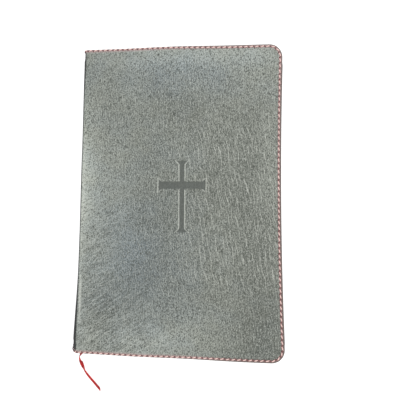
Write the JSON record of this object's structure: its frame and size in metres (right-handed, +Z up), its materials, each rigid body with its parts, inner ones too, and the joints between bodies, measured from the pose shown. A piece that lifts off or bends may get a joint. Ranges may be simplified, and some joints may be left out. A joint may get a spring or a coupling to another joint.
{
  "type": "prayer book",
  "caption": "Limp leather-bound prayer book, closed, with a pressed cross on the front cover, a stitched edge and a ribbon marker at the tail.",
  "frame": {"origin": "middle of the underside of the closed book, without the free ribbon", "axes": "+X from the spine to the fore edge, +Y from the tail to the head, +Z up from the back cover to the front cover"},
  "size_m": [0.1589, 0.2622, 0.0238],
  "materials": {
    "cover_leather": "black grained leather with a soft sheen",
    "lining_leather": "smooth black lining leather",
    "card": "matte flexible card and brown spine paper",
    "seam_thread": "twisted red waxed thread",
    "endpaper": "matte black endpaper",
    "paper": "matte cream book paper",
    "linen": "unbleached linen tape, gauze and thread",
    "silk": "red and black silk headband",
    "ribbon": "red satin ribbon"
  },
  "bodies": {
    "text_block": {"signature_09": "paper", "signature_10": "paper", "signature_11": "paper", "signature_12": "paper", "signature_13": "paper", "signature_14": "paper", "signature_15": "paper", "signature_16": "paper", "signature_01_fold": "paper", "signature_02_fold": "paper", "signature_03_fold": "paper", "signature_04_fold": "paper", "signature_05_fold": "paper", "signature_06_fold": "paper", "signature_07_fold": "paper", "signature_08_fold": "paper", "spine_leather": "cover_leather", "spine_head_thread": "seam_thread", "spine_tail_thread": "seam_thread", "sewing_tape_1": "linen", "sewing_tape_2": "linen", "sewing_tape_3": "linen", "kettle_stitch_head": "linen", "kettle_stitch_tail": "linen", "spine_mull": "linen", "spine_lining_paper": "card", "spine_inlay": "card", "headband": "silk", "tailband": "silk", "ribbon_marker": "ribbon", "ribbon_tail": "ribbon"},
    "front_cover": {"front_cover_leather": "cover_leather", "front_cover_card": "card", "front_cover_lining": "lining_leather", "front_seam_thread": "seam_thread", "front_lining_thread": "seam_thread", "front_pastedown": "endpaper"},
    "back_cover": {"back_cover_leather": "cover_leather", "back_cover_card": "card", "back_cover_lining": "lining_leather", "back_seam_thread": "seam_thread", "back_lining_thread": "seam_thread", "back_pastedown": "endpaper", "back_flyleaf": "paper"},
    "front_flyleaf": {"front_flyleaf": "paper"},
    "leaves_01": {"signature_01": "paper"},
    "leaves_02": {"signature_02": "paper"},
    "leaves_03": {"signature_03": "paper"},
    "leaves_04": {"signature_04": "paper"},
    "leaves_05": {"signature_05": "paper"},
    "leaves_06": {"signature_06": "paper"},
    "leaves_07": {"signature_07": "paper"},
    "leaves_08": {"signature_08": "paper"}
  },
  "joints": [
    {"name": "front_cover_hinge", "type": "hinge", "parent": "text_block", "child": "front_cover", "pos_m": [-0.073, 0, 0.0239], "axis": [0, -1, 0], "range_deg": [0, 180]},
    {"name": "back_cover_hinge", "type": "hinge", "parent": "text_block", "child": "back_cover", "pos_m": [-0.073, 0, -0.0001], "axis": [0, 1, 0], "range_deg": [0, 185]},
    {"name": "front_flyleaf_turn", "type": "hinge", "parent": "text_block", "child": "front_flyleaf", "pos_m": [-0.0708, 0, 0.02125], "axis": [0, -1, 0], "range_deg": [0, 104.4]},
    {"name": "leaves_01_turn", "type": "hinge", "parent": "text_block", "child": "leaves_01", "pos_m": [-0.0704, 0, 0.02085], "axis": [0, -1, 0], "range_deg": [0, 90]},
    {"name": "leaves_02_turn", "type": "hinge", "parent": "text_block", "child": "leaves_02", "pos_m": [-0.0704, 0, 0.01975], "axis": [0, -1, 0], "range_deg": [0, 53.1]},
    {"name": "leaves_03_turn", "type": "hinge", "parent": "text_block", "child": "leaves_03", "pos_m": [-0.0704, 0, 0.01865], "axis": [0, -1, 0], "range_deg": [0, 35.1]},
    {"name": "leaves_04_turn", "type": "hinge", "parent": "text_block", "child": "leaves_04", "pos_m": [-0.0704, 0, 0.01755], "axis": [0, -1, 0], "range_deg": [0, 25.02]},
    {"name": "leaves_05_turn", "type": "hinge", "parent": "text_block", "child": "leaves_05", "pos_m": [-0.0704, 0, 0.01645], "axis": [0, -1, 0], "range_deg": [0, 18.9]},
    {"name": "leaves_06_turn", "type": "hinge", "parent": "text_block", "child": "leaves_06", "pos_m": [-0.0704, 0, 0.01535], "axis": [0, -1, 0], "range_deg": [0, 14.4]},
    {"name": "leaves_07_turn", "type": "hinge", "parent": "text_block", "child": "leaves_07", "pos_m": [-0.0704, 0, 0.01425], "axis": [0, -1, 0], "range_deg": [0, 11.16]},
    {"name": "leaves_08_turn", "type": "hinge", "parent": "text_block", "child": "leaves_08", "pos_m": [-0.0704, 0, 0.01315], "axis": [0, -1, 0], "range_deg": [0, 8.64]}
  ],
  "couplings": [
    {"joint": "front_flyleaf_turn", "follows": "front_cover_hinge", "ratio": 0.58},
    {"joint": "leaves_01_turn", "follows": "front_cover_hinge", "ratio": 0.5},
    {"joint": "leaves_02_turn", "follows": "front_cover_hinge", "ratio": 0.295},
    {"joint": "leaves_03_turn", "follows": "front_cover_hinge", "ratio": 0.195},
    {"joint": "leaves_04_turn", "follows": "front_cover_hinge", "ratio": 0.139},
    {"joint": "leaves_05_turn", "follows": "front_cover_hinge", "ratio": 0.105},
    {"joint": "leaves_06_turn", "follows": "front_cover_hinge", "ratio": 0.08},
    {"joint": "leaves_07_turn", "follows": "front_cover_hinge", "ratio": 0.062},
    {"joint": "leaves_08_turn", "follows": "front_cover_hinge", "ratio": 0.048}
  ]
}
